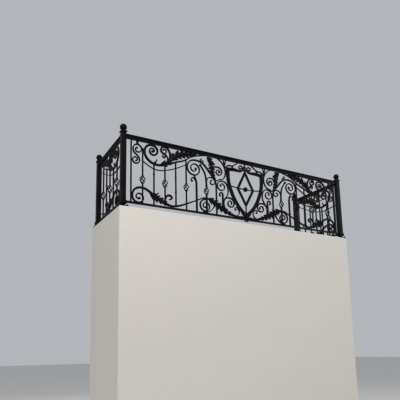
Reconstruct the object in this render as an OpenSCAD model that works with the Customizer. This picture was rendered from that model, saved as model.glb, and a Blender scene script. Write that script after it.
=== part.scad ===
// Wrought iron balcony railing: a long front panel with a shield in its middle, two return
// panels that run back to the wall, four fluted posts with ball finials and a moulded handrail.
// The front looks along -Y, the floor is z = 0 and x = 0 is the middle of the shield.

/* [Overall] */
// Distance between the axes of the two front posts
front_span = 4224; // [4210:1:4240]
// Distance between the axes of a front post and the rear post behind it
side_span = 1160; // [1150:1:1180]
// Height of the handrail's top above the floor
rail_height = 1100; // [1096:1:1110]

/* [Posts] */
// Width of the square posts
post_size = 70; // [66:1:74]
// Width of the square base plates
base_size = 130; // [120:1:140]
// Thickness of the base plates
base_thick = 12; // [10:1:16]
// Distance between the bolt holes of a base plate
bolt_spacing = 98; // [92:1:104]
// Diameter of the bolt holes
bolt_hole = 14; // [12:1:16]
// Diameter of the ball on each post
ball_size = 100; // [90:1:104]

/* [Bars] */
// Width of the square balusters
bar_size = 18; // [16:1:20]
// Depth of the scroll bars from front to back
scroll_depth = 22; // [18:1:26]
// Distance between the balusters of the front panel
front_pitch = 178.5; // [176:0.5:180]
// Height of a twisted basket
basket_height = 124; // [110:2:140]
// Greatest width of a twisted basket
basket_width = 88; // [70:2:100]
// Diameter of the rods of a basket
rod_size = 13; // [11:0.5:14]

/* [Hidden] */
$fn = 48;
iron = [0.10, 0.10, 0.11];

// Posts stand at these four corners and end a little above the handrail
corner_x = front_span / 2;
corner_y = side_span / 2;
face = post_size / 2;
post_top = rail_height + 14;

// Heights of the horizontal bars
bottom_rail_z = 75;
bottom_rail_h = 24;
bar_foot = bottom_rail_z + bottom_rail_h;
top_bar_z = rail_height - 60;
top_bar_h = 12;
rail_width = 56;

// A scroll's outline takes a point about every step_length millimetres, a coil one for
// each of its sides
step_length = 24;
coil_sides = 24;
bulb = 14;
boss = 19;

// A leaf's blade, and its edge: the depth of the notches, where a lobe is widest and
// how far the lobes lean towards the tip. A leaf narrower than small_leaf has a single blade.
blade = 12;
small_leaf = 60;
notch = 0.36;
lobe_top = 0.72;
leaf_lean = 0.62;
lobe_points = 5;

// Balusters of a panel, counted from its corner post; a return panel has seven
first_bar = 120;
side_pitch = 162;
side_first = (side_span - 6 * side_pitch) / 2;
basket_z = 455;
knuckle_z = 567;

// The return panels have the front's scrolls nearer to the corner post
return_shift = -130;

// The moulded collar over the foot of each post, where the bottom rail ends
collar_size = 94;
collar_z = 45;
collar_top = 100;

function unit(v) = v / norm(v);
function turned(v) = [-v.y, v.x];
function reversed(p) = [for (i = [len(p) - 1:-1:0]) p[i]];

// Direction of a path at a point, led by the nearer neighbour
function heading(p, i) =
    i == 0 ? unit(p[1] - p[0])
    : i == len(p) - 1 ? unit(p[i] - p[i - 1])
    : let(a = p[i] - p[i - 1], b = p[i + 1] - p[i])
        unit(a * norm(b) / norm(a) + b * norm(a) / norm(b));

function between(p, i, t) =
    let(l = norm(p[i + 1] - p[i]), a = l * heading(p, i), b = l * heading(p, i + 1))
    (2 * t ^ 3 - 3 * t ^ 2 + 1) * p[i] + (t ^ 3 - 2 * t ^ 2 + t) * a
    + (3 * t ^ 2 - 2 * t ^ 3) * p[i + 1] + (t ^ 3 - t ^ 2) * b;

// A smooth line through the points
function smooth(p, step = step_length) = [
    for (i = [0:len(p) - 2])
        let(n = max(1, round(norm(p[i + 1] - p[i]) / step)))
        for (k = [0:n - 1]) between(p, i, k / n),
    p[len(p) - 1]
];

// A coil from its inner end outwards, which ends at the angle and radius given.
// Positive turns open counter-clockwise, and an even below 1 keeps the outer turn rounder.
function coil(c, r, angle, turns, inner = 0.22, even = 1) =
    let(n = ceil(abs(turns) * coil_sides))
    [for (i = [0:n])
        let(t = i / n, a = angle - 360 * turns * (1 - t), q = r * (inner + (1 - inner) * t ^ even))
        c + q * [cos(a), sin(a)]];

function moved(p, shift) = [for (q = p) q + [shift, 0]];

// Stands a flat outline up in the plane of the panel
module upright(depth) {
    rotate([90, 0, 0]) linear_extrude(height = depth, center = true) children();
}

// A round button seen from the front
module button(c, r) {
    translate([c.x, 0, c.y]) rotate([90, 0, 0]) cylinder(r = r, h = scroll_depth + 2, center = true);
}

// A flat bar bent along a path, with widths listed by the fraction of the way along it
module band(path, widths, depth = scroll_depth) {
    p = smooth(path);
    last = len(p) - 1;
    side = [for (i = [0:last]) turned(heading(p, i)) * lookup(i / last, widths) / 2];
    upright(depth) polygon([for (i = [0:last]) p[i] + side[i], for (i = [last:-1:0]) p[i] - side[i]]);
}

// A bar that starts as a coil with a round button at its inner end
module scroll(start, route, widths, end = bulb) {
    band(concat(start, route), widths);
    button(start[0], end);
}

// How far a lobed edge reaches at u, which runs from 0 to 1 along a lobe: it rises slowly
// and falls back to a sharp notch
function lobe(u) =
    let(rise = u < lobe_top ? sin(90 * u / lobe_top) : cos(90 * (u - lobe_top) / (1 - lobe_top)))
    notch + (1 - notch) * rise ^ 0.8;

// Half width of a leaf along its length: full near its root and narrow at its tip
function swell(t) = min(1, 0.7 + 1.4 * t) * (1 - 0.98 * t ^ 2.4) ^ 0.75;

// One edge of a leaf, on the side given by sign
function leaf_edge(p, half, lobes, sign) =
    let(last = len(p) - 1)
    [for (i = [0:last])
        let(t = i / last, d = half * swell(t) * lobe(lobes * t - floor(lobes * t)))
        p[i] + d * (leaf_lean * heading(p, i) + sign * turned(heading(p, i)))];

// The point at the fraction t of the way along a path
function along(p, t) =
    let(x = t * (len(p) - 1), i = min(floor(x), len(p) - 2))
    p[i] + (x - i) * (p[i + 1] - p[i]);

// An acanthus leaf that lies along a path: a lobed blade, a smaller one on a wide leaf, and a proud rib
module leaf(path, width, lobes) {
    line = smooth(path);
    n = lobes * lobe_points;
    p = [for (i = [0:n]) along(line, i / n)];
    lower = [width / 2, blade];
    upper = [width * 0.27, blade + 7];
    for (layer = width < small_leaf ? [lower] : [lower, upper])
        upright(layer[1])
            polygon(concat(leaf_edge(p, layer[0], lobes, 1), reversed(leaf_edge(p, layer[0], lobes, -1))));
    band(path, [[0, 15], [0.7, 10], [1, 4]], blade + 16);
}

// A place in the front panel's left half, measured from the left post; the right half is its mirror
module front(side) {
    mirror([side == "left" ? 0 : 1, 0, 0]) translate([-corner_x, -corner_y, 0]) children();
}

// A place in a return panel, measured back from its front post
module return_panel(side) {
    mirror([side == "left" ? 0 : 1, 0, 0])
        translate([-corner_x, -corner_y, 0]) rotate([0, 0, 90]) children();
}

module at_corner(side, end) {
    translate([side == "left" ? -corner_x : corner_x, end == "front" ? -corner_y : corner_y, 0]) children();
}

// A moulding with four equal sides, from half of its outline listed from the foot up
module square_moulding(outline) {
    whole = concat(outline, reversed([for (q = outline) [-q.x, q.y]]));
    size = 2 * max([for (q = outline) q.x]);
    intersection() {
        upright(size) polygon(whole);
        rotate([0, 0, 90]) upright(size) polygon(whole);
    }
}

// Square post with two flutes down each face
module post() {
    flute = 8;
    flute_gap = 20;
    foot = collar_top + 20;
    head = rail_height - 90;
    color(iron) difference() {
        translate([-face, -face, collar_top]) cube([post_size, post_size, post_top - collar_top]);
        for (turn = [0:90:270], dx = [-flute_gap / 2, flute_gap / 2])
            rotate([0, 0, turn]) translate([dx, -face - flute / 4, foot])
                cylinder(d = flute, h = head - foot);
    }
}

// Base plate with four bolt holes, a short neck on it and the moulded collar that carries the post
module base() {
    neck = 22;
    collar = collar_size / 2;
    color(iron) {
        difference() {
            translate([-base_size / 2, -base_size / 2, 0]) cube([base_size, base_size, base_thick]);
            for (x = [-1, 1], y = [-1, 1])
                translate([x * bolt_spacing / 2, y * bolt_spacing / 2, -1])
                    cylinder(d = bolt_hole, h = base_thick + 2);
        }
        square_moulding([[neck + 10, base_thick], [neck + 10, base_thick + 5], [neck, base_thick + 11],
            [neck, collar_z - 4], [collar - 6, collar_z], [collar, collar_z + 6], [collar, collar_top - 16],
            [collar - 5, collar_top - 12], [collar - 5, collar_top - 5], [face, collar_top]]);
    }
}

// Square moulded cap, a turned neck and the ball that sits in it
module finial() {
    cap = face + 12;
    neck_z = post_top + 22;
    ball_z = neck_z + 12 + ball_size / 2;
    color(iron) {
        square_moulding([[face, post_top], [face + 4, post_top + 3], [face + 4, post_top + 7],
            [cap, post_top + 12], [cap, post_top + 18], [cap - 5, neck_z]]);
        translate([0, 0, neck_z]) rotate_extrude()
            polygon([[0, 0], [41, 0], [41, 4], [35, 10], [30, 14], [30, 20], [0, 20]]);
        translate([0, 0, ball_z]) sphere(d = ball_size);
    }
}

// Section of the handrail: a round-shouldered grip on a narrower core
module rail_section() {
    half = rail_width / 2;
    shoulder = 9;
    cove = 6;
    core = 30;
    grip_z = rail_height - 24;
    core_z = top_bar_z + top_bar_h;
    difference() {
        union() {
            translate([-half, grip_z]) square([rail_width, rail_height - shoulder - grip_z]);
            for (side = [-1, 1])
                translate([side * (half - shoulder), rail_height - shoulder]) circle(r = shoulder);
            translate([shoulder - half, grip_z]) square([rail_width - 2 * shoulder, rail_height - grip_z]);
            translate([-core / 2, core_z]) square([core, grip_z - core_z + 1]);
        }
        for (side = [-1, 1]) translate([side * half, grip_z]) circle(r = cove);
    }
}

module handrail(span) {
    color(iron) translate([face, 0, 0]) rotate([90, 0, 90])
        linear_extrude(height = span - post_size) rail_section();
}

module top_bar(span) {
    depth = 40;
    color(iron) translate([face, -depth / 2, top_bar_z]) cube([span - post_size, depth, top_bar_h]);
}

module bottom_rail(span) {
    depth = 30;
    color(iron) translate([collar_size / 2, -depth / 2, bottom_rail_z])
        cube([span - collar_size, depth, bottom_rail_h]);
}

module upright_bar(s, from, to, size = bar_size) {
    translate([s - size / 2, -size / 2, from]) cube([size, size, to - from]);
}

// Small round collar on a baluster
module knuckle(s, z, r = 14) {
    h = 9;
    translate([s, 0, z]) rotate_extrude()
        polygon([[0, -h], [r - 4, -h], [r, 4 - h], [r, h - 4], [r - 4, h], [0, h]]);
}

// One rod of a basket, wound half a turn round the axis
module basket_rod(start) {
    rings = 10;
    sides = 5;
    waist = 6;
    belly = (basket_width - rod_size) / 2;
    at = function (t) let(r = waist + (belly - waist) * sin(180 * t), a = start + 180 * t)
        [r * cos(a), r * sin(a), basket_height * (t - 0.5)];
    ring = function (i)
        let(t = i / rings, way = unit(at(t + 0.01) - at(t - 0.01)),
            u = unit(cross(way, [0, 0, 1])), v = cross(way, u))
        [for (k = [0:sides - 1]) let(a = 360 * k / sides) at(t) + rod_size / 2 * (cos(a) * u + sin(a) * v)];
    polyhedron(
        points = [for (i = [0:rings]) each ring(i)],
        faces = [
            [for (k = [0:sides - 1]) k],
            for (i = [0:rings - 1], k = [0:sides - 1])
                let(a = i * sides + k, b = i * sides + (k + 1) % sides)
                each [[a, a + sides, b], [b, a + sides, b + sides]],
            [for (k = [sides - 1:-1:0]) rings * sides + k]
        ]);
}

// Baluster with a twisted basket between knuckles
module basket_bar(s, from, to, size = bar_size) {
    reach = basket_height / 2;
    seat = 2;
    ring_gap = 40;
    upright_bar(s, from, basket_z - reach + seat, size);
    upright_bar(s, basket_z + reach - seat, to, size);
    translate([s, 0, basket_z]) for (start = [0:90:270]) basket_rod(start + 45);
    for (end = [-1, 1]) {
        knuckle(s, basket_z + end * reach, 15);
        knuckle(s, basket_z + end * (reach + ring_gap), 12);
    }
}

function front_bar(i) = first_bar + front_pitch * i;

// Plain balusters of the front panel; the seventh forks into a curl and a stem
module bars_front() {
    stout = 20;
    fork_size = 24;
    fork = front_bar(6);
    fork_z = 565;
    color(iron) {
        upright_bar(front_bar(0), bar_foot, top_bar_z);
        upright_bar(front_bar(2), bar_foot, 722);
        knuckle(front_bar(2), knuckle_z);
        upright_bar(front_bar(4), 125, 820);
        for (z = [350, 580]) knuckle(front_bar(4), z);
        upright_bar(front_bar(8), bar_foot, 580, stout);
        upright_bar(fork, bar_foot, fork_z + 5, fork_size);
        scroll(coil([fork - 64, 600], 34, 60, -0.5, 0.75), [[fork - 20, 604], [fork, fork_z]],
            [[0, 10], [1, 20]]);
        band([[fork, fork_z], [fork - 12, 620], [fork - 40, 668]], [[0, 20], [1, 14]]);
    }
}

// Balusters with baskets; the last one bends over into the main scroll
module baskets_front() {
    bend = front_bar(7);
    bend_size = 24;
    color(iron) {
        basket_bar(front_bar(1), bar_foot, 940);
        basket_bar(front_bar(3), 190, 742);
        basket_bar(front_bar(5), bar_foot, 900);
        basket_bar(bend, bar_foot, 560, bend_size);
        band([[bend, 558], [bend - 9, 660], [bend - 25, 740], [bend - 60, 800], [bend - 105, 862]],
            [[0, bend_size], [1, 20]]);
        button([bend - 105, 862], 19);
    }
}

// Balusters of a return panel end where the scrolls above cross them
module balusters_return() {
    tops = [top_bar_z, 778, 728, 770, 838, 916, 1002];
    color(iron) for (i = [0:6]) {
        s = side_first + side_pitch * i;
        if (i % 2 == 1) basket_bar(s, bar_foot, tops[i]);
        else upright_bar(s, bar_foot, tops[i]);
        if (i % 2 == 0 && i > 0) knuckle(s, knuckle_z);
    }
}

// S-scroll beside the corner post, with the stub that ties it to the top bar
module corner_s() {
    stub = 215;
    lower = coil([190, 742], 61, 10, 1.15, 0.25, 0.6);
    scroll(coil([222, 915], 74, 190, 1.15, 0.25, 0.5), concat([[166, 852], [222, 806]], reversed(lower)),
        [[0, 12], [0.3, 18], [0.7, 18], [1, 12]]);
    button(lower[0], bulb);
    upright_bar(stub, 980, top_bar_z, 28);
}

// Large C-scroll whose bar sweeps down and then up to the right, and the two coils that branch
// from it. The shift moves it along the panel and the tail says where its bar goes after the leaf.
module great_c(shift, tail) {
    fork = [690, 775];
    sweep = [[385, 1003], [331, 930], [337, 845], [375, 787], [435, 745], [515, 725],
        [608, 733], [692, 765], [775, 800], [858, 833], [983, 883]];
    scroll(moved(coil([458, 930], 88, 95, 1.6, 0.1), shift), concat(moved(sweep, shift), tail),
        [[0, 12], [0.2, 20], [0.4, 32], [0.6, 34], [0.85, 18], [1, 15]], boss);
    scroll(moved(coil([645, 970], 64, 80, -1.15, 0.3), shift),
        moved([[705, 1010], [735, 962], [742, 908], [725, 850], fork], shift),
        [[0, 10], [0.3, 16], [0.55, 30], [0.8, 28], [1, 20]]);
    scroll(moved(coil([648, 881], 36, 45, -0.95, 0.4), shift), moved([[702, 850], fork], shift),
        [[0, 10], [0.5, 15], [1, 15]]);
}

// Thin arc that follows below the sweep
module hanging_arc(line) {
    band(line, [[0, 12], [1, 12]], bar_size);
}

// Second main scroll: a double coil whose heavy bar runs down to the ninth baluster
module main_scroll() {
    foot = front_bar(8);
    scroll(coil([1155, 786], 138, 90, -1.75, 0.2),
        [[1250, 920], [1320, 890], [1380, 832], [1435, 768], [1492, 700], [foot - 12, 630], [foot, 570]],
        [[0, 10], [0.3, 17], [0.6, 22], [0.8, 29], [1, 22]], boss);
    scroll(coil([1470, 622], 70, 100, 0.95, 0.3), [[1392, 670], [1368, 590]],
        [[0, 11], [0.5, 16], [1, 14]]);
    scroll(coil([1283, 957], 24, 330, 0.7, 0.5), [[1316, 925], [1310, 895]], [[0, 7], [1, 11]], 8);
}

// Scrolls in the column between the ninth baluster and the shield
module shield_side_scrolls() {
    band([[1575, top_bar_z + 2], [1650, 992], [1700, 930], [1727, 855], [1715, 760], [1670, 700],
        [1617, 683], [1550, 655]], [[0, 14], [0.5, 20], [1, 14]]);
    scroll(coil([1595, 812], 78, 105, 1.3), [[1530, 885], [1480, 845], [1440, 768]],
        [[0, 11], [0.5, 17], [1, 21]], boss);
    scroll(coil([1647, 578], 84, 100, -1.15, 0.2, 0.5),
        [[1717, 655], [1762, 590], [1772, 525], [1758, 458], [1725, 408], [1680, 345]],
        [[0, 11], [0.5, 17], [1, 14]]);
    scroll(coil([1635, 440], 33, 5, -0.62, 0.85), [[1667, 400], [1667, 330], [1672, 200]],
        [[0, 12], [0.5, 24], [1, 32]]);
    scroll(coil([1808, 320], 84, 90, 1.3, 0.25),
        [[1750, 403], [1700, 372], [1682, 315], [1690, 250], [1725, 190], [1785, 140]],
        [[0, 13], [0.6, 23], [1, 20]]);
}

// Branch from the column of scrolls up to the top bar, two short struts and a link to the shield
module crest_branch() {
    branch = 22;
    strut = 16;
    link = 1867;
    band([[1722, 905], [1780, 953], [link, 965], [1930, 1002], [1985, top_bar_z + 2]],
        [[0, branch], [1, strut]], bar_size);
    for (top = [1690, 1738])
        band([[1715, 925], [top, top_bar_z + 2]], [[0, strut], [1, strut]], bar_size);
    upright_bar(link, 905, 965, branch);
}

module upper_scrolls_front() {
    color(iron) {
        corner_s();
        great_c(0, [[1080, 950], [1185, 998], [1270, 1020], [1350, top_bar_z]]);
        hanging_arc([[298, 742], [400, 683], [483, 650], [567, 644], [692, 672], [817, 717], [900, 758],
            [992, 808], [1040, 832]]);
        main_scroll();
        shield_side_scrolls();
        crest_branch();
    }
}

module upper_scrolls_return() {
    back = side_span - face + 1;
    color(iron) {
        great_c(return_shift, [[950, 950], [1055, 998], [back, 1020]]);
        hanging_arc([[face - 1, 665], [150, 652], [270, 638], [400, 636], [562, 672], [687, 717], [770, 758],
            [862, 808], [1000, 880], [back, 935]]);
    }
}

// Low scroll beside the corner post, whose bar runs along the bottom rail and rises again, and the
// hook on it that a leaf grows from
module low_sweep(tail) {
    scroll(coil([240, 185], 101, 165, -1.35, 0.2),
        concat([[165, 280], [215, 318], [280, 331], [340, 322], [400, 293], [450, 262], [530, 210],
            [600, 165], [680, 136], [765, 122], [850, 134], [950, 168], [1050, 212]], tail),
        [[0, 12], [0.3, 25], [0.55, 34], [0.75, 28], [0.9, 17], [1, 14]], boss);
    band([[650, 185], [668, 245], [705, 282], [750, 278], [772, 250], [755, 228], [722, 218]],
        [[0, 28], [0.6, 24], [1, 10]]);
}

// Low scroll under the main one, whose leafed bar runs to the foot of the shield, with a thin
// outer arc and a small curl beside the shield
module low_scroll() {
    scroll(coil([1346, 211], 109, 80, -1.6, 0.2, 0.9),
        [[1420, 335], [1500, 290], [1600, 230], [1700, 175], [1800, 135], [1900, 118], [2060, 112]],
        [[0, 11], [0.4, 20], [0.7, 33], [1, 28]], boss);
    band([[1300, 110], [1370, 112], [1430, 140], [1480, 190], [1510, 240], [1530, 262]], [[0, 14], [1, 14]]);
    scroll(coil([1915, 240], 34, 20, -0.6, 0.5), [[1975, 185], [1930, 132], [1850, 118]], [[0, 11], [1, 14]]);
}

module lower_scrolls_front() {
    color(iron) {
        low_sweep([[1150, 258], [1240, 300], [1310, 335], [1370, 338]]);
        low_scroll();
    }
}

module lower_scrolls_return() {
    color(iron) low_sweep([[side_span - face + 1, 262]]);
}

// The leaves next to a corner post, each lower one with a small side leaf
module corner_leaves(shift) {
    color(iron) {
        leaf(moved([[585, 745], [660, 770], [730, 812], [768, 872], [774, 956]], shift), 118, 4);
        leaf(moved([[470, 728], [505, 765], [530, 815]], shift), 36, 2);
        leaf(moved([[760, 852], [850, 928], [955, 976], [1085, 1002], [1200, 1018]], shift), 160, 6);
        leaf([[412, 268], [500, 220], [590, 184], [665, 152], [740, 120]], 132, 5);
        leaf([[470, 240], [515, 262], [555, 298]], 36, 2);
    }
}

module leaves_front() {
    corner_leaves(0);
    color(iron) {
        leaf([[1390, 1020], [1440, 975], [1468, 900], [1472, 820], [1500, 730], [1540, 660]], 138, 6);
        leaf([[1400, 340], [1520, 282], [1640, 214], [1760, 160], [1880, 127]], 148, 7);
    }
}

// Half of the shield's rim, drawn from its shoulder to its foot
module rim_half() {
    band([[336, 915], [335, 770], [320, 650], [288, 550], [247, 450], [190, 350], [106, 245], [-6, 150]],
        [[0, 64], [1, 56]], 14);
}

module shield_rim() {
    color(iron) translate([0, -corner_y, 0]) for (m = [0, 1]) mirror([m, 0, 0]) rim_half();
}

// Plain lozenge with a round boss, held by short bars
module shield_lozenge() {
    top = [0, 890];
    bottom = [0, 330];
    waist = [150, 600];
    rim = [300, 620];
    foot = [0, 150];
    bar = 14;
    plate = 12;
    color(iron) translate([0, -corner_y, 0]) {
        for (m = [0, 1]) mirror([m, 0, 0]) {
            for (end = [top, bottom]) band([end, waist], [[0, 40], [1, 40]], plate);
            band([waist, rim], [[0, bar], [1, bar]], plate);
            band([[0, waist.y], waist], [[0, bar], [1, bar]], plate);
        }
        band([bottom, foot], [[0, 18], [1, 18]], plate);
        button([0, waist.y], 38);
    }
}

// Two facing coils on the shield's top bar, with a pointed leaf between them
module shield_crest() {
    color(iron) translate([0, -corner_y, 0]) {
        for (m = [0, 1]) mirror([m, 0, 0])
            scroll(coil([86, 958], 54, 265, 1.1, 0.3), [[205, 905], [352, 893]],
                [[0, 11], [0.5, 20], [0.7, 32], [0.85, 52], [1, 56]]);
        leaf([[0, 885], [0, 960], [0, top_bar_z + 2]], 64, 3);
    }
}

// Fan of leaves under the foot of the shield
module shield_palmette() {
    root = [0, 118];
    color(iron) translate([0, -corner_y, 0])
        for (spoke = [[0, 150], [38, 120], [142, 120], [180, 150], [248, 78], [292, 78]])
            leaf([root, root + spoke[1] * [cos(spoke[0]), sin(spoke[0])]], 52, 3);
}

at_corner("left", "front") post();  // post_front_left
at_corner("right", "front") post();  // post_front_right
at_corner("left", "rear") post();  // post_rear_left
at_corner("right", "rear") post();  // post_rear_right
at_corner("left", "front") base();  // base_front_left
at_corner("right", "front") base();  // base_front_right
at_corner("left", "rear") base();  // base_rear_left
at_corner("right", "rear") base();  // base_rear_right
at_corner("left", "front") finial();  // finial_front_left
at_corner("right", "front") finial();  // finial_front_right
at_corner("left", "rear") finial();  // finial_rear_left
at_corner("right", "rear") finial();  // finial_rear_right
front("left") handrail(front_span);  // handrail_front
return_panel("left") handrail(side_span);  // handrail_left
return_panel("right") handrail(side_span);  // handrail_right
front("left") top_bar(front_span);  // top_bar_front
return_panel("left") top_bar(side_span);  // top_bar_left
return_panel("right") top_bar(side_span);  // top_bar_right
front("left") bottom_rail(front_span);  // bottom_rail_front
return_panel("left") bottom_rail(side_span);  // bottom_rail_left
return_panel("right") bottom_rail(side_span);  // bottom_rail_right
front("left") bars_front();  // bars_front_left
front("right") bars_front();  // bars_front_right
front("left") baskets_front();  // baskets_front_left
front("right") baskets_front();  // baskets_front_right
return_panel("left") balusters_return();  // balusters_left
return_panel("right") balusters_return();  // balusters_right
front("left") upper_scrolls_front();  // upper_scrolls_front_left
front("right") upper_scrolls_front();  // upper_scrolls_front_right
return_panel("left") upper_scrolls_return();  // upper_scrolls_left
return_panel("right") upper_scrolls_return();  // upper_scrolls_right
front("left") lower_scrolls_front();  // lower_scrolls_front_left
front("right") lower_scrolls_front();  // lower_scrolls_front_right
return_panel("left") lower_scrolls_return();  // lower_scrolls_left
return_panel("right") lower_scrolls_return();  // lower_scrolls_right
front("left") leaves_front();  // leaves_front_left
front("right") leaves_front();  // leaves_front_right
return_panel("left") corner_leaves(return_shift);  // leaves_left
return_panel("right") corner_leaves(return_shift);  // leaves_right
shield_rim();
shield_lozenge();
shield_crest();
shield_palmette();
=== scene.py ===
import math

import bmesh
import bpy
from mathutils import Matrix, Vector


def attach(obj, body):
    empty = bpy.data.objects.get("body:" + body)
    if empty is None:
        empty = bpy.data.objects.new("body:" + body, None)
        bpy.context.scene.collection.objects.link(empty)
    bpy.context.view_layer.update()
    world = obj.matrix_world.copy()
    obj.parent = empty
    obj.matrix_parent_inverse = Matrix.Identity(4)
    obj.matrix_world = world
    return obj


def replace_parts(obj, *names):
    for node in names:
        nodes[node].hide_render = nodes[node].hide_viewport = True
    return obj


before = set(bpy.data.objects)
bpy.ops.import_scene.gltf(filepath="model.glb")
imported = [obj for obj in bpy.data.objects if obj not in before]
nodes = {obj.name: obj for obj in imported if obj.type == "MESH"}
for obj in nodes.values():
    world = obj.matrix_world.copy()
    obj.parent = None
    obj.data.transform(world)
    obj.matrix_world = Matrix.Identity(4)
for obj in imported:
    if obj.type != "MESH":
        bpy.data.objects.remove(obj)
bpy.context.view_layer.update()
scene = bpy.context.scene

# Millimetres, as in the part's source. The corners are the posts' axes, and a face is half a post away from one
CORNER_X, CORNER_Y, FACE = 2112.0, 580.0, 35.0
SIDE_SPAN = 2 * CORNER_Y

# Where bars start and end: on the bottom rail, under the top bar, or sunk a little into the top bar or a post
BAR_FOOT, TOP_BAR = 99.0, 1040.0
IN_TOP_BAR = TOP_BAR + 2
IN_FRONT_POST, IN_REAR_POST = FACE - 1, SIDE_SPAN - FACE + 1

# Side of a plain bar, depth of the scrolls, and the radius of a small and a large button in a coil
BAR, DEPTH = 18.0, 22.0
BULB, BOSS = 14.0, 19.0

# Balusters: the first one's place and their pitch, on the front and on a return
FIRST, PITCH = 120.0, 178.5
SIDE_PITCH = 162.0
SIDE_FIRST = (SIDE_SPAN - 6 * SIDE_PITCH) / 2
COLLAR_Z = 567.0

# Baskets: middle, height, width, rod, distance of the second ring, and the radius of both rings
BASKET_Z, BASKET_H, BASKET_W, ROD = 455.0, 124.0, 88.0, 13.0
BASKET_WAIST, RING_GAP = 6.0, 40.0
NEAR_RING, FAR_RING = 15.0, 12.0

# How far the pattern of the front is moved on the returns
RETURN_SHIFT = -130.0

# Base plates, with the distance between their bolts
BASE_THICK, BOLT_SPACING = 12.0, 98.0

# Leaves: steps in a lobe and across a half, notch between lobes, a lobe's tip, lean of its sides, and its teeth
LOBE_STEPS, ACROSS = 20, 8
NOTCH, TIP, LEAN = 0.36, 0.72, 0.62
TEETH, TOOTH_DEPTH = 3, 0.10

# Camera, solved from the photo: lengths in pixels, its turn as a vector, its place in metres from the left post
PICTURE, SENSOR = 400, 36.0
FOCAL, CENTRE_X, CENTRE_Y = 450.09, 195.89, 274.59
TURN = Vector((-0.16997, -0.50491, 0.02513))
PLACE = Vector((-2.05589, -5.76571, -2.00759))

# Blender averages a pixel in linear light, which thins dark bars more than the photo's reduction did
VIEW_GAMMA = 0.72


def make_camera():
    data = bpy.data.cameras.new("camera")
    data.sensor_width = SENSOR
    data.lens = FOCAL / PICTURE * SENSOR
    data.shift_x = (PICTURE / 2 - CENTRE_X) / PICTURE
    data.shift_y = (CENTRE_Y - PICTURE / 2) / PICTURE
    data.clip_start, data.clip_end = 0.05, 200
    cam = bpy.data.objects.new("camera", data)
    scene.collection.objects.link(cam)
    turn = Matrix.Rotation(TURN.length, 3, TURN.normalized())
    right, down, ahead = turn @ Matrix(((1, 0, 0), (0, 0, -1), (0, 1, 0)))
    basis = Matrix((right, -down, -ahead)).transposed()
    corner = Vector((CORNER_X, CORNER_Y, 0)) / 1000
    cam.matrix_world = Matrix.Translation(PLACE - corner) @ basis.to_4x4()
    scene.camera = cam


make_camera()
scene.view_settings.view_transform = "Standard"
scene.view_settings.gamma = VIEW_GAMMA


# Lines in the plane of a panel, as lists of (along the panel, height)
def unit(v):
    n = math.hypot(*v)
    return (v[0] / n, v[1] / n)


def heading(p, i):
    if i == 0:
        return unit((p[1][0] - p[0][0], p[1][1] - p[0][1]))
    if i == len(p) - 1:
        return unit((p[i][0] - p[i - 1][0], p[i][1] - p[i - 1][1]))
    a = (p[i][0] - p[i - 1][0], p[i][1] - p[i - 1][1])
    b = (p[i + 1][0] - p[i][0], p[i + 1][1] - p[i][1])
    la, lb = math.hypot(*a), math.hypot(*b)
    return unit((a[0] * lb / la + b[0] * la / lb, a[1] * lb / la + b[1] * la / lb))


# A smooth line through the points, cut into the given parts or into steps of about 24 mm
def smooth(p, parts=None, step=24.0):
    out = []
    for i in range(len(p) - 1):
        l = math.dist(p[i], p[i + 1])
        ha, hb = heading(p, i), heading(p, i + 1)
        n = parts or max(1, int(math.floor(l / step + 0.5)))
        for k in range(n):
            t = k / n
            a, b = 2 * t ** 3 - 3 * t * t + 1, (t ** 3 - 2 * t * t + t) * l
            c, d = 3 * t * t - 2 * t ** 3, (t ** 3 - t * t) * l
            out.append(tuple(a * p[i][j] + b * ha[j] + c * p[i + 1][j] + d * hb[j] for j in (0, 1)))
    return out + [tuple(p[-1])]


# A spiral that starts inside, at a share of its radius, and ends at the given angle; even below 1 opens it sooner
def coil(c, r, angle, turns, inner=0.22, even=1.0, steps_a_turn=24):
    n = math.ceil(abs(turns) * steps_a_turn)
    out = []
    for i in range(n + 1):
        t = i / n
        a = math.radians(angle - 360 * turns * (1 - t))
        q = r * (inner + (1 - inner) * t ** even)
        out.append((c[0] + q * math.cos(a), c[1] + q * math.sin(a)))
    return out


def moved(p, shift):
    return [(q[0] + shift, q[1]) for q in p]


# The value at t in a table of (place, value), straight between its rows
def lookup(t, table):
    if t <= table[0][0]:
        return table[0][1]
    for (a, u), (b, v) in zip(table, table[1:]):
        if t <= b:
            return u + (v - u) * (t - a) / (b - a)
    return table[-1][1]


# The point at the share t of a line
def along(line, t):
    x = t * (len(line) - 1)
    i = min(int(x), len(line) - 2)
    return tuple(line[i][j] + (x - i) * (line[i + 1][j] - line[i][j]) for j in (0, 1))


# A bar's section with corners of radius r, from half its width and half its depth
def section(w, d, r):
    out = []
    for cx, cy, start in ((1, 1, 0), (-1, 1, 90), (-1, -1, 180), (1, -1, 270)):
        for a in (0, 30, 60, 90):
            t = math.radians(start + a)
            out.append((cx * (w - r) + r * math.cos(t), cy * (d - r) + r * math.sin(t)))
    return out


# How far a leaf's lobe reaches out, for the share u of the lobe
def reach(u):
    if u < TIP:
        rise = math.sin(math.pi / 2 * u / TIP)
    else:
        rise = math.cos(math.pi / 2 * (u - TIP) / (1 - TIP))
    return NOTCH + (1 - NOTCH) * max(rise, 0) ** 0.8


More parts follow.
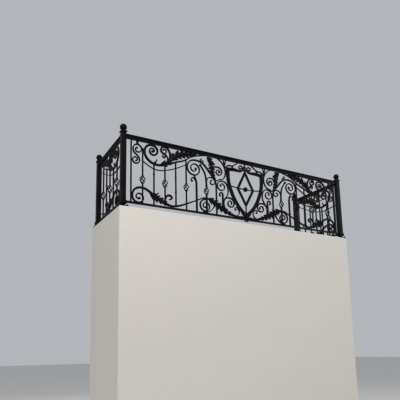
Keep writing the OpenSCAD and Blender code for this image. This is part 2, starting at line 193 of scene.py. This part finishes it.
# Half a leaf's thickness: t is the share of the leaf, u of the lobe, a of the way out to its edge
def leaf_half(t, u, a, out, full):
    thinnest, edge, belly, rib_height, rib_spread = 1.4, 2.2, 5.0, 9.5, 6.5
    vein_height, groove_depth, tier_height, fold_height = 7.68, 3.4, 3.4, 1.5
    vein_at, vein_spread, groove_spread = 0.60, 0.10, 0.13
    tier_reach, tier_shift, tier_edge = 0.56, 0.45, 0.025
    small = 26.0
    off = a * out / max(full, 1)
    rib = rib_height * (1 - 0.65 * t) * math.exp(-(off * full / rib_spread) ** 2)
    blade = edge + belly * (1 - a ** 2.2)
    vein = vein_height * math.exp(-((u - vein_at) / vein_spread) ** 2) * a * (1.15 - a)
    groove = groove_depth * math.exp(-(min(u, 1 - u) / groove_spread) ** 2) * min(1, 3 * a) * (1 - 0.5 * t)
    inner = tier_reach * reach((u + tier_shift) % 1.0)
    tier = tier_height / (1 + math.exp(-(inner - off) / tier_edge))
    fold = fold_height * math.cos(2 * math.pi * (TEETH * u / TIP - 0.25 * (1 - a))) * a
    grow = 0.35 + 0.65 * min(1.0, full / small)
    return max(thinnest, (blade + vein - groove + tier + fold) * grow + rib)


# A mesh under work, as points and faces in panel space: s along the panel, d towards its inner side, z up
class Work:
    def __init__(self):
        self.v, self.f = [], []

    # A solid through rings of the same number of points, closed at both ends
    def loft(self, rings):
        start, n = len(self.v), len(rings[0])
        for ring in rings:
            self.v.extend(ring)
        for i in range(len(rings) - 1):
            for k in range(n):
                a, b = start + i * n + k, start + i * n + (k + 1) % n
                self.f.append((a, b, b + n, a + n))
        last = start + (len(rings) - 1) * n
        self.f.append(tuple(start + k for k in reversed(range(n))))
        self.f.append(tuple(last + k for k in range(n)))

    # A closed plate from rows of (s, half thickness, z), the same on both sides
    def shell(self, rows):
        n, m, first = len(rows) - 1, len(rows[0]), len(self.v)
        for side in (1, -1):
            start = len(self.v)
            for row in rows:
                self.v.extend((s, side * half, z) for s, half, z in row)
            for i in range(n):
                for k in range(m - 1):
                    a = start + i * m + k
                    face = (a, a + 1, a + 1 + m, a + m)
                    self.f.append(face if side > 0 else face[::-1])
        edge = ([(i, 0) for i in range(n + 1)] + [(n, k) for k in range(1, m)] +
                [(i, m - 1) for i in range(n - 1, -1, -1)] + [(0, k) for k in range(m - 2, 0, -1)])
        edge = [i * m + k for i, k in edge]
        for a, b in zip(edge, edge[1:] + edge[:1]):
            self.f.append((first + b, first + a, start + a, start + b))

    # A bar bent along a path, with rounded edges; widths is a table over its length
    def band(self, path, widths, depth=DEPTH, rounding=0.42):
        p = smooth(smooth(path), parts=3)
        d, rings = depth / 2, []
        for i, (s, z) in enumerate(p):
            h = heading(p, i)
            w = lookup(i / (len(p) - 1), widths) / 2
            rings.append([(s - h[1] * x, y, z + h[0] * x) for x, y in section(w, d, min(w, d) * rounding)])
        self.loft(rings)

    # A turned form: an outline of (radius, height) round an axis through c
    def turned(self, c, outline, axis="z", sides=28, least=0.01):
        rings = []
        for r, h in outline:
            ring = []
            for k in range(sides):
                a = 2 * math.pi * k / sides
                x, y = max(r, least) * math.cos(a), max(r, least) * math.sin(a)
                off = (x, y, h) if axis == "z" else (x, h, -y)
                ring.append(tuple(c[j] + off[j] for j in range(3)))
            rings.append(ring)
        self.loft(rings)

    # The domed button at the inner end of a coil: shares of its radius, and heights over the bar's face
    def button(self, c, r):
        half = [(0.35, 4), (0.75, 2.6), (0.96, -1), (1, -4)]
        outline = [(q * r, -DEPTH / 2 - h) for q, h in half] + [(q * r, DEPTH / 2 + h) for q, h in half[::-1]]
        self.turned((c[0], 0, c[1]), outline, "y", 24)

    # A coil with a button inside, and the bar that goes on from it
    def scroll(self, start, route, widths, end=BULB):
        self.band(start + route, widths)
        self.button(start[0], end)

    # A straight square bar
    def upright(self, s, z0, z1, size=BAR, rounding=2.2):
        outline = section(size / 2, size / 2, rounding)
        self.loft([[(s + x, y, z) for x, y in outline] for z in (z0, z1)])

    # A moulded collar; in the photo those of the plain bars are larger than the baskets' rings
    def collar(self, s, z, r=16.0, tall=1.35):
        half = [(r - 5, 10), (r - 3.4, 8.6), (r - 3.6, 6.6), (r - 1.2, 5), (r, 1.6)]
        outline = [(q, -h * tall) for q, h in half] + [(q, h * tall) for q, h in half[::-1]]
        self.turned((s, 0, z), outline)

    # One rod of a basket, wound half a turn round the axis
    def rod(self, s, start, steps=34, sides=10):
        belly, near = (BASKET_W - ROD) / 2, 0.01

        def at(t):
            r = BASKET_WAIST + (belly - BASKET_WAIST) * math.sin(math.pi * t)
            a = math.radians(start + 180 * t)
            return Vector((r * math.cos(a), r * math.sin(a), BASKET_H * (t - 0.5)))

        rings, middle = [], Vector((s, 0, BASKET_Z))
        for i in range(steps + 1):
            t = i / steps
            way = (at(t + near) - at(t - near)).normalized()
            u = way.cross(Vector((0, 0, 1))).normalized()
            v = way.cross(u)
            rings.append([tuple(at(t) + ROD / 2 * (math.cos(a) * u + math.sin(a) * v) + middle)
                          for a in (2 * math.pi * k / sides for k in range(sides))])
        self.loft(rings)

    # A baluster with a twisted basket between two pairs of rings
    def basket_bar(self, s, z0, z1, size=BAR, overlap=2):
        half = BASKET_H / 2
        self.upright(s, z0, BASKET_Z - half + overlap, size)
        self.upright(s, BASKET_Z + half - overlap, z1, size)
        for k in range(4):
            self.rod(s, 45 + 90 * k)
        for end in (-1, 1):
            self.collar(s, BASKET_Z + end * half, NEAR_RING, 1)
            self.collar(s, BASKET_Z + end * (half + RING_GAP), FAR_RING, 1)

    # A cast acanthus leaf: toothed lobes with folds and a vein each, a smaller tier on them and a proud rib
    def leaf(self, path, width, lobes):
        n = lobes * LOBE_STEPS
        line = smooth(smooth(path), parts=4)
        p = [along(line, i / n) for i in range(n + 1)]
        rows = []
        for i, (s, z) in enumerate(p):
            t = i / n
            h = heading(p, i)
            u = (lobes * t) % 1.0
            full = width / 2 * min(1, 0.7 + 1.4 * t) * (1 - 0.98 * t ** 2.4) ** 0.75
            tooth = TOOTH_DEPTH * (1 - TEETH * u / TIP % 1.0) if u < TIP else 0
            out = full * reach(u) * (1 - tooth)
            row = []
            for k in range(-ACROSS, ACROSS + 1):
                v, a = k / ACROSS, abs(k) / ACROSS
                row.append((s + out * (a * LEAN * h[0] - v * h[1]), leaf_half(t, u, a, out, full),
                            z + out * (a * LEAN * h[1] + v * h[0])))
            rows.append(row)
        self.shell(rows)

    # The finished mesh as an object, put where each placing says, with its faces outward
    def emit(self, name, places, material, angle=38.0):
        verts, faces = [], []
        for place in places:
            start = len(verts)
            verts.extend(place(q) for q in self.v)
            faces.extend(tuple(start + i for i in f) for f in self.f)
        mesh = bpy.data.meshes.new(name)
        mesh.from_pydata(verts, [], faces)
        mesh.validate()
        outward = bmesh.new()
        outward.from_mesh(mesh)
        bmesh.ops.recalc_face_normals(outward, faces=outward.faces)
        outward.to_mesh(mesh)
        outward.free()
        mesh.materials.append(material)
        mesh.shade_smooth()
        mesh.set_sharp_from_angle(angle=math.radians(angle))
        o = bpy.data.objects.new(name, mesh)
        scene.collection.objects.link(o)
        even = o.modifiers.new("even_normals", "WEIGHTED_NORMAL")
        even.keep_sharp = True
        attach(o, "root")
        return o


# Where a panel's points stand in the frame, in metres; the right half mirrors the left one
def metres(x, y, z):
    return (x / 1000, y / 1000, z / 1000)


def hand(side):
    return 1 if side == "left" else -1


def front(side):
    return lambda q: metres(hand(side) * (q[0] - CORNER_X), q[1] - CORNER_Y, q[2])


def returning(side):
    return lambda q: metres(hand(side) * (-q[1] - CORNER_X), q[0] - CORNER_Y, q[2])


def centre(mirrored=False):
    return lambda q: metres(-q[0] if mirrored else q[0], q[1] - CORNER_Y, q[2])


def standing():
    return lambda q: metres(*q)


# A material's nodes, with short words for those used most
class Shader:
    def __init__(self, name):
        self.material = bpy.data.materials.new(name)
        self.material.use_nodes = True
        self.tree = self.material.node_tree
        self.tree.nodes.clear()
        self.skin = self.add("ShaderNodeBsdfPrincipled")
        self.link(self.skin.outputs[0], self.add("ShaderNodeOutputMaterial").inputs[0])
        self.where = self.add("ShaderNodeTexCoord").outputs["Object"]

    # A node with settings or unlinked inputs by name, with _ for a space
    def add(self, kind, **values):
        node = self.tree.nodes.new(kind)
        for key, value in values.items():
            if hasattr(node, key):
                setattr(node, key, value)
            else:
                node.inputs[key.replace("_", " ")].default_value = value
        return node

    def link(self, a, b):
        self.tree.links.new(a, b)

    def cloud(self, scale, detail=4.0, rough=0.55):
        node = self.add("ShaderNodeTexNoise", Scale=scale, Detail=detail, Roughness=rough)
        self.link(self.where, node.inputs["Vector"])
        return node.outputs[0]

    # The stops are pairs of a place and a grey value or a colour
    def ramp(self, value, *stops):
        node = self.add("ShaderNodeValToRGB")
        elements = node.color_ramp.elements
        while len(elements) < len(stops):
            elements.new(0.5)
        for element, (at, c) in zip(elements, stops):
            element.position = at
            element.color = (c, c, c, 1) if isinstance(c, float) else (*c, 1)
        self.link(value, node.inputs[0])
        return node.outputs[0]

    def calc(self, op, a, b=None, clamp=False):
        node = self.add("ShaderNodeMath", operation=op, use_clamp=clamp)
        for i, x in enumerate((a, b)):
            if isinstance(x, float):
                node.inputs[i].default_value = x
            elif x is not None:
                self.link(x, node.inputs[i])
        return node.outputs[0]

    def times(self, a, b):
        return self.calc("MULTIPLY", a, b)

    def mix(self, factor, a, b):
        node = self.add("ShaderNodeMix", data_type="RGBA")
        self.link(factor, node.inputs[0])
        for x, socket in ((a, node.inputs[6]), (b, node.inputs[7])):
            if isinstance(x, tuple):
                socket.default_value = (*x, 1)
            else:
                self.link(x, socket)
        return node.outputs[2]


# Colours of the iron: the paint in three shades, its specks, rubbed edges that also serve as painted edge
# highlights, water marks and dust
PAINT = ((0.30, (0.0075, 0.0075, 0.0090)), (0.55, (0.0126, 0.0124, 0.0145)), (0.78, (0.0230, 0.0225, 0.0255)))
SPECK = (0.038, 0.037, 0.040)
# the lighter colour of the rubbed edges, partly real wear and partly a painted highlight on the edges
RUBBED_AND_HIGHLIT = (0.100, 0.094, 0.090)
WATER_MARK = (0.042, 0.039, 0.036)
DUST = (0.160, 0.145, 0.125)


def speckled_paint(s):
    speck = s.ramp(s.cloud(160.0, 3.0), (0.55, 0.0), (0.72, 1.0))
    return s.mix(s.times(speck, 0.35), s.ramp(s.cloud(5.0, 5.0), *PAINT), SPECK)


# Where the rounded normal leaves the real one, at the edges, in patches: rubbed paint, made lighter also as a
# painted highlight on the edges
def worn_and_highlit_edges(s, normal, rounded):
    dot = s.add("ShaderNodeVectorMath", operation="DOT_PRODUCT")
    s.link(rounded, dot.inputs[0])
    s.link(normal, dot.inputs[1])
    edge = s.ramp(dot.outputs["Value"], (0.86, 1.0), (0.985, 0.0))
    return s.times(edge, s.ramp(s.cloud(38.0, 4.0, 0.65), (0.42, 0.15), (0.60, 1.0)))


# Water marks that run down the upright faces
def streaks(s, up):
    run = s.add("ShaderNodeMapping", Scale=(46.0, 46.0, 2.2))
    s.link(s.where, run.inputs["Vector"])
    wash = s.add("ShaderNodeTexNoise", Scale=1.0, Detail=3.0, Roughness=0.6)
    s.link(run.outputs[0], wash.inputs["Vector"])
    upright = s.ramp(s.calc("ABSOLUTE", up), (0.10, 1.0), (0.45, 0.0))
    return s.times(s.ramp(wash.outputs[0], (0.50, 0.0), (0.70, 1.0)), upright)


# Dust on the faces that look up
def settled_dust(s, up):
    level = s.ramp(up, (0.55, 0.0), (0.95, 1.0))
    return s.times(level, s.ramp(s.cloud(24.0, 5.0, 0.7), (0.38, 0.15), (0.70, 1.0)))


# Hammer marks of the given strength and size, with the paint's own texture on them
def relief(s, hammer, cell, rounded):
    dents = s.add("ShaderNodeTexVoronoi", feature="SMOOTH_F1", Scale=1.0 / cell, Smoothness=0.6)
    s.link(s.where, dents.inputs["Vector"])
    low = s.times(dents.outputs["Distance"], hammer)
    fine = s.calc("ADD", s.times(s.cloud(420.0, 2.0), 0.10), s.times(s.cloud(95.0, 3.0), 0.22))
    bump = s.add("ShaderNodeBump", Strength=0.55, Distance=0.0018)
    s.link(s.calc("ADD", low, fine), bump.inputs["Height"])
    s.link(rounded, bump.inputs["Normal"])
    return bump.outputs[0]


# Iron under black paint: hammered below, rubbed at the edges and lightened there as a painted highlight, marked
# by water and dusty where it faces up
def iron(name, hammer, cell, rough, dust, wear_and_highlight):
    s = Shader(name)
    normal = s.add("ShaderNodeNewGeometry").outputs["Normal"]
    rounded = s.add("ShaderNodeBevel", samples=4, Radius=0.0022).outputs[0]
    split = s.add("ShaderNodeSeparateXYZ")
    s.link(normal, split.inputs[0])
    up = split.outputs[2]

    dusty = s.times(settled_dust(s, up), dust)
    # rubbed edges mixed in lighter, partly real wear and partly a painted highlight on the edges
    paint = s.mix(s.times(worn_and_highlit_edges(s, normal, rounded), wear_and_highlight), speckled_paint(s), RUBBED_AND_HIGHLIT)
    paint = s.mix(s.times(streaks(s, up), 0.45), paint, WATER_MARK)
    s.link(s.mix(dusty, paint, DUST), s.skin.inputs["Base Color"])

    gloss = s.ramp(s.cloud(14.0, 4.0), (0.25, rough - 0.07), (0.75, rough + 0.10))
    s.link(s.calc("ADD", gloss, s.times(dusty, 0.30), True), s.skin.inputs["Roughness"])
    s.skin.inputs["IOR"].default_value = 1.46
    s.skin.inputs["Specular IOR Level"].default_value = 0.24
    s.link(relief(s, hammer, cell, rounded), s.skin.inputs["Normal"])
    return s.material


# The last number sets how strongly the rubbed edges and their painted edge highlight show
TUBE = iron("iron_tube", hammer=0.35, cell=0.030, rough=0.36, dust=0.34, wear_and_highlight=0.55)
FORGED = iron("iron_forged", hammer=1.20, cell=0.013, rough=0.38, dust=0.28, wear_and_highlight=0.60)
CAST = iron("iron_cast", hammer=0.70, cell=0.008, rough=0.42, dust=0.30, wear_and_highlight=0.80)
STEEL = iron("iron_fixings", hammer=0.40, cell=0.006, rough=0.36, dust=0.30, wear_and_highlight=0.90)


# The CAD nodes that stay get the same iron
for name, o in nodes.items():
    kind = CAST if name.startswith(("base", "finial", "shield")) else TUBE
    for s in o.material_slots:
        s.material = kind
    if not o.material_slots:
        o.data.materials.append(kind)


def front_bar(i):
    return FIRST + PITCH * i


def bars_front():
    w = Work()
    w.upright(front_bar(0), BAR_FOOT, TOP_BAR)
    w.upright(front_bar(2), BAR_FOOT, 722)
    w.collar(front_bar(2), COLLAR_Z)
    w.upright(front_bar(4), 125, 820)
    for z in (350, 580):
        w.collar(front_bar(4), z)
    w.upright(front_bar(8), BAR_FOOT, 580, 20)
    # the bar that forks into a curl and a branch
    fork, fork_z = front_bar(6), 565.0
    w.upright(fork, BAR_FOOT, fork_z + 5, 24)
    w.scroll(coil((fork - 64, 600), 34, 60, -0.5, 0.75), [(fork - 20, 604), (fork, fork_z)], [(0, 10), (1, 20)])
    w.band([(fork, fork_z), (fork - 12, 620), (fork - 40, 668)], [(0, 20), (1, 14)])
    return w


def baskets_front():
    w = Work()
    w.basket_bar(front_bar(1), BAR_FOOT, 940)
    w.basket_bar(front_bar(3), 190, 742)
    w.basket_bar(front_bar(5), BAR_FOOT, 900)
    # the bar whose head bends over to the scrolls
    bend, head = front_bar(7), (front_bar(7) - 105, 862)
    w.basket_bar(bend, BAR_FOOT, 560, 24)
    w.band([(bend, 558), (bend - 9, 660), (bend - 25, 740), (bend - 60, 800), head], [(0, 24), (1, 20)])
    w.button(head, BOSS)
    return w


def balusters_return():
    w = Work()
    for i, top in enumerate((TOP_BAR, 778, 728, 770, 838, 916, 1002)):
        s = SIDE_FIRST + SIDE_PITCH * i
        if i % 2:
            w.basket_bar(s, BAR_FOOT, top)
        else:
            w.upright(s, BAR_FOOT, top)
            if i:
                w.collar(s, COLLAR_Z)
    return w


# The large C scroll with its sweep, and the two coils that hang in it
def great_c(w, shift, tail):
    fork = (690, 775)
    sweep = [(385, 1003), (331, 930), (337, 845), (375, 787), (435, 745), (515, 725),
             (608, 733), (692, 765), (775, 800), (858, 833), (983, 883)]
    w.scroll(moved(coil((458, 930), 88, 95, 1.6, 0.1), shift), moved(sweep, shift) + tail,
             [(0, 12), (0.2, 20), (0.4, 32), (0.6, 34), (0.85, 18), (1, 15)], BOSS)
    w.scroll(moved(coil((645, 970), 64, 80, -1.15, 0.3), shift),
             moved([(705, 1010), (735, 962), (742, 908), (725, 850), fork], shift),
             [(0, 10), (0.3, 16), (0.55, 30), (0.8, 28), (1, 20)])
    w.scroll(moved(coil((648, 881), 36, 45, -0.95, 0.4), shift), moved([(702, 850), fork], shift),
             [(0, 10), (0.5, 15), (1, 15)])


# The S scroll beside the post, on a short block under the top bar
def s_scroll(w):
    lower = coil((190, 742), 61, 10, 1.15, 0.25, 0.6)
    w.scroll(coil((222, 915), 74, 190, 1.15, 0.25, 0.5), [(166, 852), (222, 806)] + lower[::-1],
             [(0, 12), (0.3, 18), (0.7, 18), (1, 12)])
    w.button(lower[0], BULB)
    w.upright(215, 980, TOP_BAR, 28)


# The scroll that falls from the top bar to the bar beside the shield, with its side coil and top curl
def falling_scroll(w):
    foot = front_bar(8)
    w.scroll(coil((1155, 786), 138, 90, -1.75, 0.2),
             [(1250, 920), (1320, 890), (1380, 832), (1435, 768), (1492, 700), (foot - 12, 630), (foot, 570)],
             [(0, 10), (0.3, 17), (0.6, 22), (0.8, 29), (1, 22)], BOSS)
    w.scroll(coil((1470, 622), 70, 100, 0.95, 0.3), [(1392, 670), (1368, 590)], [(0, 11), (0.5, 16), (1, 14)])
    w.scroll(coil((1283, 957), 24, 330, 0.7, 0.5), [(1316, 925), (1310, 895)], [(0, 7), (1, 11)], 8)


# The bow and the four coils beside the shield, from the top down
def shield_scrolls(w):
    w.band([(1575, IN_TOP_BAR), (1650, 992), (1700, 930), (1727, 855), (1715, 760), (1670, 700), (1617, 683),
            (1550, 655)], [(0, 14), (0.5, 20), (1, 14)])
    w.scroll(coil((1595, 812), 78, 105, 1.3), [(1530, 885), (1480, 845), (1440, 768)],
             [(0, 11), (0.5, 17), (1, 21)], BOSS)
    w.scroll(coil((1647, 578), 84, 100, -1.15, 0.2, 0.5),
             [(1717, 655), (1762, 590), (1772, 525), (1758, 458), (1725, 408), (1680, 345)],
             [(0, 11), (0.5, 17), (1, 14)])
    w.scroll(coil((1635, 440), 33, 5, -0.62, 0.85), [(1667, 400), (1667, 330), (1672, 200)],
             [(0, 12), (0.5, 24), (1, 32)])
    w.scroll(coil((1808, 320), 84, 90, 1.3, 0.25),
             [(1750, 403), (1700, 372), (1682, 315), (1690, 250), (1725, 190), (1785, 140)],
             [(0, 13), (0.6, 23), (1, 20)])


# The branch over the shield's shoulder, with its stays
def crest_branch(w):
    w.band([(1722, 905), (1780, 953), (1867, 965), (1930, 1002), (1985, IN_TOP_BAR)], [(0, 22), (1, 16)], BAR)
    for top in (1690, 1738):
        w.band([(1715, 925), (top, IN_TOP_BAR)], [(0, 16), (1, 16)], BAR)
    w.upright(1867, 905, 965, 22)


def upper_front():
    w = Work()
    s_scroll(w)
    great_c(w, 0, [(1080, 950), (1185, 998), (1270, 1020), (1350, TOP_BAR)])
    # the thin arc that hangs under it
    w.band([(298, 742), (400, 683), (483, 650), (567, 644), (692, 672), (817, 717), (900, 758), (992, 808),
            (1040, 832)], [(0, 12), (1, 12)], BAR)
    falling_scroll(w)
    shield_scrolls(w)
    crest_branch(w)
    return w


def upper_return():
    w = Work()
    great_c(w, RETURN_SHIFT, [(950, 950), (1055, 998), (IN_REAR_POST, 1020)])
    w.band([(IN_FRONT_POST, 665), (150, 652), (270, 638), (400, 636), (562, 672), (687, 717), (770, 758),
            (862, 808), (1000, 880), (IN_REAR_POST, 935)], [(0, 12), (1, 12)], BAR)
    return w


# The low coil with its sweep along the bottom rail, and the curl that grows from it
def low_sweep(w, tail):
    w.scroll(coil((240, 185), 101, 165, -1.35, 0.2),
             [(165, 280), (215, 318), (280, 331), (340, 322), (400, 293), (450, 262), (530, 210), (600, 165),
              (680, 136), (765, 122), (850, 134), (950, 168), (1050, 212)] + tail,
             [(0, 12), (0.3, 25), (0.55, 34), (0.75, 28), (0.9, 17), (1, 14)], BOSS)
    w.band([(646, 148), (652, 195), (669, 245), (704, 279), (746, 275), (767, 250), (753, 228), (722, 218)],
           [(0, 26), (0.45, 30), (0.7, 32), (0.87, 25), (1, 14)])


def lower_front():
    w = Work()
    low_sweep(w, [(1150, 258), (1240, 300), (1310, 335), (1370, 338)])
    # the second low coil, whose sweep ends under the shield
    w.scroll(coil((1346, 211), 109, 80, -1.6, 0.2, 0.9),
             [(1420, 335), (1500, 290), (1600, 230), (1700, 175), (1800, 135), (1900, 118), (2060, 112)],
             [(0, 11), (0.4, 20), (0.7, 33), (1, 28)], BOSS)
    w.band([(1300, 110), (1370, 112), (1430, 140), (1480, 190), (1510, 240), (1530, 262)], [(0, 14), (1, 14)])
    # the curl beside the shield's foot
    w.scroll(coil((1915, 240), 34, 20, -0.6, 0.5), [(1975, 185), (1930, 132), (1850, 118)], [(0, 11), (1, 14)])
    return w


def lower_return():
    w = Work()
    low_sweep(w, [(IN_REAR_POST, 262)])
    return w


# The leaves that the front and the returns share, three above and two below
def corner_leaves(w, shift):
    w.leaf(moved([(585, 745), (660, 770), (730, 812), (768, 872), (774, 956)], shift), 118, 4)
    w.leaf(moved([(470, 728), (505, 765), (530, 815)], shift), 36, 2)
    w.leaf(moved([(760, 852), (850, 928), (955, 976), (1085, 1002), (1200, 1018)], shift), 160, 6)
    w.leaf([(412, 268), (500, 220), (590, 184), (665, 152), (740, 120)], 132, 5)
    w.leaf([(470, 240), (515, 262), (555, 298)], 36, 2)


def leaves_front():
    w = Work()
    corner_leaves(w, 0)
    w.leaf([(1390, 1020), (1440, 975), (1468, 900), (1472, 820), (1500, 730), (1540, 660)], 138, 6)
    w.leaf([(1400, 340), (1520, 282), (1640, 214), (1760, 160), (1880, 127)], 148, 7)
    return w


def leaves_return():
    w = Work()
    corner_leaves(w, RETURN_SHIFT)
    return w


# The fan of leaves under the shield's foot, by angle and length
def palmette(foot=118, width=52, lobes=3):
    w = Work()
    for angle, length in ((0, 150), (38, 120), (142, 120), (180, 150), (248, 78), (292, 78)):
        a = math.radians(angle)
        w.leaf([(0, foot), (length * math.cos(a), foot + length * math.sin(a))], width, lobes)
    return w


def crest_leaf():
    w = Work()
    w.leaf([(0, 885), (0, 960), (0, IN_TOP_BAR)], 64, 3)
    return w


def crest_coil():
    w = Work()
    w.scroll(coil((86, 958), 54, 265, 1.1, 0.3), [(205, 905), (352, 893)],
             [(0, 11), (0.5, 20), (0.7, 32), (0.85, 52), (1, 56)])
    return w


FRONT_PARTS = (("bars_front", bars_front(), FORGED), ("baskets_front", baskets_front(), FORGED),
               ("upper_scrolls_front", upper_front(), FORGED), ("lower_scrolls_front", lower_front(), FORGED),
               ("leaves_front", leaves_front(), CAST))
RETURN_PARTS = (("balusters", balusters_return(), FORGED), ("upper_scrolls", upper_return(), FORGED),
                ("lower_scrolls", lower_return(), FORGED), ("leaves", leaves_return(), CAST))
for side in ("left", "right"):
    for name, work, kind in FRONT_PARTS:
        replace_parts(work.emit(f"{name}_{side}_made", [front(side)], kind), f"{name}_{side}")
    for name, work, kind in RETURN_PARTS:
        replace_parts(work.emit(f"{name}_{side}_made", [returning(side)], kind), f"{name}_{side}")
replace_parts(palmette().emit("shield_palmette_made", [centre()], CAST), "shield_palmette")
crest_leaf().emit("shield_crest_leaf", [centre()], CAST)
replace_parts(crest_coil().emit("shield_crest_coils", [centre(), centre(mirrored=True)], FORGED), "shield_crest")

# An anchor stud's nut: its height, half its width over flats, and its rings by outer radius and height
NUT_H, NUT_HALF = 10.0, 9.5
NUT_RINGS = ((9.116, 0), (11.088, 0.9), (11.088, NUT_H - 1.2), (8.904, NUT_H))
WASHER = ((6.5, 0), (11.2, 0), (12, 0.6), (12, 2.0), (11.4, 2.5), (6.5, 2.5))
WASHER_H, STUD_R, ROOT_R, THREAD = 2.5, 6.0, 5.3, 1.75


# A nut with chamfered corners, turned a little differently at each corner of the balcony
def nut(w, c, z):
    turn = math.radians(7 * (c[0] > 0) + 13 * (c[1] > 0))
    rings = []
    for limit, h in NUT_RINGS:
        ring = []
        for k in range(24):
            a = math.radians(15 * k)
            flat = NUT_HALF / math.cos((a + math.pi / 6) % (math.pi / 3) - math.pi / 6)
            r = min(flat, limit)
            ring.append((c[0] + r * math.cos(a + turn), c[1] + r * math.sin(a + turn), z + h))
        rings.append(ring)
    w.loft(rings)


# The end of a threaded stud, with its foot in the hole of the plate
def stud(w, c, z0, z1):
    outline, z = [(5.4, 1.0)], z0
    while z < z1:
        outline += [(STUD_R, z), (ROOT_R, z + 0.9)]
        z += THREAD
    w.turned(c, outline + [(4.6, z + 0.6)], sides=16)


# Studs with nuts and washers in the base plates' holes
def fixings():
    w = Work()
    signs = (-1, 1)
    off = BOLT_SPACING / 2
    for cx, cy, dx, dy in ((a, b, c, d) for a in signs for b in signs for c in signs for d in signs):
        c = (cx * CORNER_X + dx * off, cy * CORNER_Y + dy * off, 0)
        w.turned(c, [(r, BASE_THICK + h) for r, h in WASHER])
        nut(w, c, BASE_THICK + WASHER_H)
        stud(w, c, BASE_THICK + 12, BASE_THICK + 21)
    return w


fixings().emit("anchor_fixings", [standing()], STEEL, 32.0)


# Stage: a pale plinth as high as the photo's viewpoint needs, a floor and soft light
def plain(name, colour, rough, fleck=0.96):
    s = Shader(name)
    s.link(s.mix(s.cloud(3.0, 6.0, 0.5), colour, tuple(c * fleck for c in colour)), s.skin.inputs["Base Color"])
    s.skin.inputs["Roughness"].default_value = rough
    return s.material


def block(name, lo, hi, material, bevel):
    mesh = bpy.data.meshes.new(name)
    mesh.from_pydata([(x, y, z) for z in (lo[2], hi[2]) for y in (lo[1], hi[1]) for x in (lo[0], hi[0])], [],
                     [(0, 2, 3, 1), (4, 5, 7, 6), (0, 1, 5, 4), (2, 6, 7, 3), (0, 4, 6, 2), (1, 3, 7, 5)])
    mesh.materials.append(material)
    o = bpy.data.objects.new(name, mesh)
    scene.collection.objects.link(o)
    if bevel:
        edge = o.modifiers.new("edge", "BEVEL")
        edge.width, edge.segments = bevel, 4
        mesh.shade_smooth()
        o.modifiers.new("even", "WEIGHTED_NORMAL")


def lamp(name, at, aim, size, power, colour):
    data = bpy.data.lights.new(name, "AREA")
    data.shape, data.size, data.energy, data.color = "DISK", size, power, colour
    o = bpy.data.objects.new(name, data)
    scene.collection.objects.link(o)
    o.location = at
    o.rotation_euler = (Vector(aim) - Vector(at)).to_track_quat("-Z", "Y").to_euler()


# In metres: the floor's height, its reach, and how far the plinth stands out past the posts' axes
FLOOR_Z, FLOOR_REACH, LEDGE = -3.5, 60, 0.07
PLINTH_X, PLINTH_Y = CORNER_X / 1000 + LEDGE, CORNER_Y / 1000 + LEDGE
PLASTER, FLOOR = (0.80, 0.775, 0.73), (0.78, 0.77, 0.75)
SKY, SKY_STRENGTH = (0.88, 0.90, 0.94), 0.64

block("plinth", (-PLINTH_X, -PLINTH_Y, FLOOR_Z - 0.1), (PLINTH_X, PLINTH_Y, 0.0),
      plain("plaster", PLASTER, 0.85), 0.008)
block("floor", (-FLOOR_REACH, -FLOOR_REACH, FLOOR_Z - 0.2), (FLOOR_REACH, FLOOR_REACH, FLOOR_Z),
      plain("floor", FLOOR, 0.9), 0)

world = bpy.data.worlds.new("world")
scene.world = world
world.use_nodes = True
sky = world.node_tree.nodes["Background"]
sky.inputs[0].default_value = (*SKY, 1)
sky.inputs[1].default_value = SKY_STRENGTH

# Each lamp's place and aim in metres, size, power and colour
lamp("key", (-4.5, -6.0, 6.5), (0, 0, 0.4), 3.2, 490, (1.0, 0.97, 0.93))
lamp("fill", (6.5, -4.0, 3.0), (0, 0, 0.5), 4.0, 80, (0.90, 0.95, 1.0))
lamp("back", (1.0, 7.0, 5.0), (0, 0, 0.6), 5.0, 210, (1.0, 0.98, 0.96))
